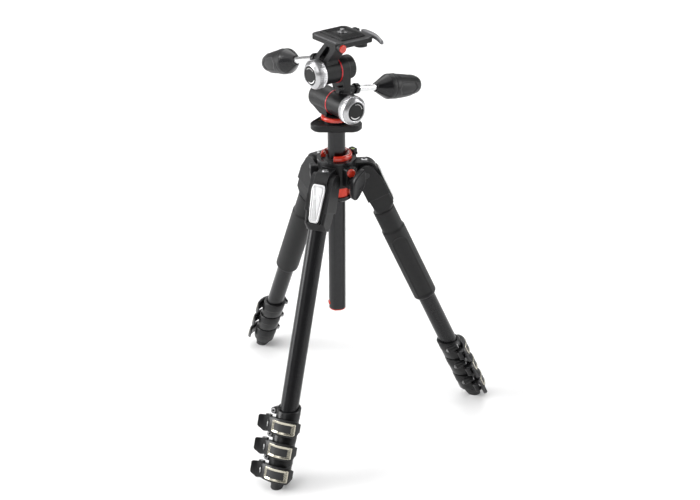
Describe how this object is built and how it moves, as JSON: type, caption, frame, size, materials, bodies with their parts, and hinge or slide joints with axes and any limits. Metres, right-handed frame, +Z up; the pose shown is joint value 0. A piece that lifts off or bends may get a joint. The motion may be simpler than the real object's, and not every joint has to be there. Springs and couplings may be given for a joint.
{
  "type": "camera tripod with three-way head",
  "caption": "Folding camera tripod with telescopic legs and flip locks, a sliding centre column and a three-way pan and tilt head with a quick release plate.",
  "frame": {"origin": "on the floor, on the centre column axis, with the legs open and closed to their shortest length", "axes": "+Z up along the centre column; -Y is the way the lens looks; X is the front tilt axis, with the side tilt handle on -X"},
  "size_m": [0.3878, 0.434, 0.6086],
  "materials": {
    "black_casting": "fine textured black powder coat on a magnesium casting",
    "head_casting": "dark grey textured coat on a light alloy casting",
    "black_tube": "satin black anodised aluminium tube",
    "silver_plate": "satin silver",
    "silver_knob": "satin silver, knurled",
    "bright_rod": "polished",
    "steel": "bright",
    "red_anodised": "satin red anodised",
    "red_plastic": "gloss",
    "black_plastic": "matt moulded",
    "lever_grey": "satin dark grey",
    "foot_rubber": "matt",
    "leg_rubber": "matt",
    "grip_rubber": "matt",
    "plate_rubber": "ribbed rubber pad on a light plate"
  },
  "bodies": {
    "spider": {"spider": "black_casting", "shoulder_pins": "steel", "collar_ring": "red_anodised", "accessory_socket": "black_plastic", "clamp_cap": "red_plastic", "column_sleeve": "red_anodised", "sleeve_ring": "black_plastic"},
    "level": {"level_ring": "black_plastic"},
    "column_knob": {"column_knob": "lever_grey"},
    "column": {"column_tube": "black_tube", "column_end_cap": "red_plastic", "column_top_plate": "black_casting", "pan_base": "black_casting"},
    "release_button": {"release_button": "red_plastic"},
    "pan": {"pan_body": "head_casting", "pan_ring": "red_plastic"},
    "pan_lock": {"pan_lock_knob": "black_plastic"},
    "tilt": {"tilt_arm": "head_casting", "tilt_rings": "red_plastic"},
    "tilt_knob": {"tilt_friction_knob": "silver_knob"},
    "side_knob": {"side_friction_knob": "silver_knob"},
    "platform": {"platform": "head_casting", "platform_cap": "red_plastic"},
    "quick_release": {"quick_release_plate": "plate_rubber"},
    "camera_screw": {"camera_screw": "steel"},
    "plate_lever": {"plate_lever": "lever_grey"},
    "safety_catch": {"safety_catch": "black_plastic"},
    "rear_handle": {"rear_handle_rod": "bright_rod"},
    "rear_grip": {"rear_handle_grip": "grip_rubber"},
    "side_handle": {"side_handle_rod": "bright_rod"},
    "side_grip": {"side_handle_grip": "grip_rubber"},
    "leg_left": {"leg_left_shoulder": "black_casting", "leg_left_section_1": "black_tube", "leg_left_grip": "leg_rubber"},
    "leg_left_selector": {"leg_left_selector": "silver_plate"},
    "leg_left_lever_1": {"leg_left_lever_1": "lever_grey"},
    "leg_left_lever_2": {"leg_left_lever_2": "lever_grey"},
    "leg_left_lever_3": {"leg_left_lever_3": "lever_grey"},
    "leg_left_section_2": {"leg_left_section_2": "black_tube"},
    "leg_left_section_3": {"leg_left_section_3": "black_tube"},
    "leg_left_foot": {"leg_left_foot": "foot_rubber"},
    "leg_front": {"leg_front_shoulder": "black_casting", "leg_front_section_1": "black_tube"},
    "leg_front_selector": {"leg_front_selector": "silver_plate"},
    "leg_front_lever_1": {"leg_front_lever_1": "lever_grey"},
    "leg_front_lever_2": {"leg_front_lever_2": "lever_grey"},
    "leg_front_lever_3": {"leg_front_lever_3": "lever_grey"},
    "leg_front_section_2": {"leg_front_section_2": "black_tube"},
    "leg_front_section_3": {"leg_front_section_3": "black_tube"},
    "leg_front_foot": {"leg_front_foot": "foot_rubber"},
    "leg_right": {"leg_right_shoulder": "black_casting", "leg_right_section_1": "black_tube", "leg_right_grip": "leg_rubber"},
    "leg_right_selector": {"leg_right_selector": "silver_plate"},
    "leg_right_lever_1": {"leg_right_lever_1": "lever_grey"},
    "leg_right_lever_2": {"leg_right_lever_2": "lever_grey"},
    "leg_right_lever_3": {"leg_right_lever_3": "lever_grey"},
    "leg_right_section_2": {"leg_right_section_2": "black_tube"},
    "leg_right_section_3": {"leg_right_section_3": "black_tube"},
    "leg_right_foot": {"leg_right_foot": "foot_rubber"}
  },
  "joints": [
    {"name": "level_ring_turn", "type": "hinge", "parent": "spider", "child": "level", "pos_m": [0, 0, 0.42], "axis": [0, 0, 1], "continuous": true},
    {"name": "column_knob_turn", "type": "hinge", "parent": "spider", "child": "column_knob", "pos_m": [0, 0, 0.39892], "axis": [1, 0, 0], "range_deg": [0, 180]},
    {"name": "column_slide", "type": "slide", "parent": "spider", "child": "column", "axis": [0, 0, 1], "range_m": [-0.0375, 0.165]},
    {"name": "release_button_press", "type": "slide", "parent": "column", "child": "release_button", "axis": [0.342, 0.9397, 0], "range_m": [0, 0.002], "stiffness_N_per_m": 400, "springref_m": -0.002},
    {"name": "pan_turn", "type": "hinge", "parent": "column", "child": "pan", "pos_m": [0, 0, 0.48], "axis": [0, 0, 1], "continuous": true},
    {"name": "pan_lock_turn", "type": "hinge", "parent": "pan", "child": "pan_lock", "pos_m": [-0.011, 0, 0.5006], "axis": [0, 1, 0], "range_deg": [0, 270]},
    {"name": "front_tilt", "type": "hinge", "parent": "pan", "child": "tilt", "pos_m": [0, 0, 0.5046], "axis": [1, 0, 0], "range_deg": [-30, 60]},
    {"name": "tilt_knob_turn", "type": "hinge", "parent": "pan", "child": "tilt_knob", "pos_m": [0, 0, 0.5046], "axis": [1, 0, 0], "range_deg": [0, 180]},
    {"name": "side_tilt", "type": "hinge", "parent": "tilt", "child": "platform", "pos_m": [0, 0, 0.5522], "axis": [0, 1, 0], "range_deg": [-25, 80]},
    {"name": "side_knob_turn", "type": "hinge", "parent": "tilt", "child": "side_knob", "pos_m": [0, 0, 0.5522], "axis": [0, 1, 0], "range_deg": [0, 180]},
    {"name": "rear_handle_turn", "type": "hinge", "parent": "tilt", "child": "rear_handle", "pos_m": [0.012, 0.012, 0.525], "axis": [0, 0.9871, -0.1599], "range_deg": [0, 270]},
    {"name": "rear_grip_retract", "type": "slide", "parent": "rear_handle", "child": "rear_grip", "axis": [0, 0.9871, -0.1599], "range_m": [-0.028, 0]},
    {"name": "side_handle_turn", "type": "hinge", "parent": "platform", "child": "side_handle", "pos_m": [-0.009, -0.019, 0.5697], "axis": [-0.9527, 0, -0.304], "range_deg": [0, 270]},
    {"name": "side_grip_retract", "type": "slide", "parent": "side_handle", "child": "side_grip", "axis": [-0.9527, 0, -0.304], "range_m": [-0.024, 0]},
    {"name": "plate_lift", "type": "slide", "parent": "platform", "child": "quick_release", "axis": [0, 0, 1], "range_m": [0, 0.03]},
    {"name": "camera_screw_turn", "type": "hinge", "parent": "quick_release", "child": "camera_screw", "pos_m": [0.004, 0.008, 0.6], "axis": [0, 0, 1], "range_deg": [0, 360]},
    {"name": "plate_lever_open", "type": "hinge", "parent": "platform", "child": "plate_lever", "pos_m": [0.01, 0.0404, 0.6], "axis": [0, 0, 1], "range_deg": [0, 50], "stiffness_Nm_per_rad": 0.03, "springref_deg": -17.19},
    {"name": "safety_catch_press", "type": "slide", "parent": "platform", "child": "safety_catch", "axis": [0, 0, -1], "range_m": [0, 0.002], "stiffness_N_per_m": 200, "springref_m": -0.002},
    {"name": "leg_left_spread", "type": "hinge", "parent": "spider", "child": "leg_left", "pos_m": [-0.0408, 0, 0.39892], "axis": [0, 1, 0], "range_deg": [-24.3, 63.7]},
    {"name": "leg_left_selector_press", "type": "hinge", "parent": "leg_left", "child": "leg_left_selector", "pos_m": [-0.07069, 0, 0.3784], "axis": [0, -1, 0], "range_deg": [0, 6], "stiffness_Nm_per_rad": 0.1, "springref_deg": -5.73},
    {"name": "leg_left_extend_1", "type": "slide", "parent": "leg_left", "child": "leg_left_section_2", "axis": [-0.4115, 0, -0.9114], "range_m": [0, 0.29]},
    {"name": "leg_left_lever_1_open", "type": "hinge", "parent": "leg_left", "child": "leg_left_lever_1", "pos_m": [-0.18892, 0.025, 0.09275], "axis": [-0.4115, 0, -0.9114], "range_deg": [0, 110]},
    {"name": "leg_left_extend_2", "type": "slide", "parent": "leg_left_section_2", "child": "leg_left_section_3", "axis": [-0.4115, 0, -0.9114], "range_m": [0, 0.29]},
    {"name": "leg_left_lever_2_open", "type": "hinge", "parent": "leg_left_section_2", "child": "leg_left_lever_2", "pos_m": [-0.18892, 0.025, 0.09275], "axis": [-0.4115, 0, -0.9114], "range_deg": [0, 110]},
    {"name": "leg_left_extend_3", "type": "slide", "parent": "leg_left_section_3", "child": "leg_left_foot", "axis": [-0.4115, 0, -0.9114], "range_m": [0, 0.29]},
    {"name": "leg_left_lever_3_open", "type": "hinge", "parent": "leg_left_section_3", "child": "leg_left_lever_3", "pos_m": [-0.18892, 0.025, 0.09275], "axis": [-0.4115, 0, -0.9114], "range_deg": [0, 110]},
    {"name": "leg_front_spread", "type": "hinge", "parent": "spider", "child": "leg_front", "pos_m": [0.0204, -0.03533, 0.39892], "axis": [-0.866, -0.5, 0], "range_deg": [-24.3, 63.7]},
    {"name": "leg_front_selector_press", "type": "hinge", "parent": "leg_front", "child": "leg_front_selector", "pos_m": [0.03535, -0.06122, 0.3784], "axis": [0.866, 0.5, 0], "range_deg": [0, 6], "stiffness_Nm_per_rad": 0.1, "springref_deg": -5.73},
    {"name": "leg_front_extend_1", "type": "slide", "parent": "leg_front", "child": "leg_front_section_2", "axis": [0.2058, -0.3564, -0.9114], "range_m": [0, 0.29]},
    {"name": "leg_front_lever_1_open", "type": "hinge", "parent": "leg_front", "child": "leg_front_lever_1", "pos_m": [0.07281, -0.17611, 0.09275], "axis": [0.2058, -0.3564, -0.9114], "range_deg": [0, 110]},
    {"name": "leg_front_extend_2", "type": "slide", "parent": "leg_front_section_2", "child": "leg_front_section_3", "axis": [0.2058, -0.3564, -0.9114], "range_m": [0, 0.29]},
    {"name": "leg_front_lever_2_open", "type": "hinge", "parent": "leg_front_section_2", "child": "leg_front_lever_2", "pos_m": [0.07281, -0.17611, 0.09275], "axis": [0.2058, -0.3564, -0.9114], "range_deg": [0, 110]},
    {"name": "leg_front_extend_3", "type": "slide", "parent": "leg_front_section_3", "child": "leg_front_foot", "axis": [0.2058, -0.3564, -0.9114], "range_m": [0, 0.29]},
    {"name": "leg_front_lever_3_open", "type": "hinge", "parent": "leg_front_section_3", "child": "leg_front_lever_3", "pos_m": [0.07281, -0.17611, 0.09275], "axis": [0.2058, -0.3564, -0.9114], "range_deg": [0, 110]},
    {"name": "leg_right_spread", "type": "hinge", "parent": "spider", "child": "leg_right", "pos_m": [0.0204, 0.03533, 0.39892], "axis": [0.866, -0.5, 0], "range_deg": [-24.3, 63.7]},
    {"name": "leg_right_selector_press", "type": "hinge", "parent": "leg_right", "child": "leg_right_selector", "pos_m": [0.03535, 0.06122, 0.3784], "axis": [-0.866, 0.5, 0], "range_deg": [0, 6], "stiffness_Nm_per_rad": 0.1, "springref_deg": -5.73},
    {"name": "leg_right_extend_1", "type": "slide", "parent": "leg_right", "child": "leg_right_section_2", "axis": [0.2058, 0.3564, -0.9114], "range_m": [0, 0.29]},
    {"name": "leg_right_lever_1_open", "type": "hinge", "parent": "leg_right", "child": "leg_right_lever_1", "pos_m": [0.11611, 0.15111, 0.09275], "axis": [0.2058, 0.3564, -0.9114], "range_deg": [0, 110]},
    {"name": "leg_right_extend_2", "type": "slide", "parent": "leg_right_section_2", "child": "leg_right_section_3", "axis": [0.2058, 0.3564, -0.9114], "range_m": [0, 0.29]},
    {"name": "leg_right_lever_2_open", "type": "hinge", "parent": "leg_right_section_2", "child": "leg_right_lever_2", "pos_m": [0.11611, 0.15111, 0.09275], "axis": [0.2058, 0.3564, -0.9114], "range_deg": [0, 110]},
    {"name": "leg_right_extend_3", "type": "slide", "parent": "leg_right_section_3", "child": "leg_right_foot", "axis": [0.2058, 0.3564, -0.9114], "range_m": [0, 0.29]},
    {"name": "leg_right_lever_3_open", "type": "hinge", "parent": "leg_right_section_3", "child": "leg_right_lever_3", "pos_m": [0.11611, 0.15111, 0.09275], "axis": [0.2058, 0.3564, -0.9114], "range_deg": [0, 110]}
  ]
}
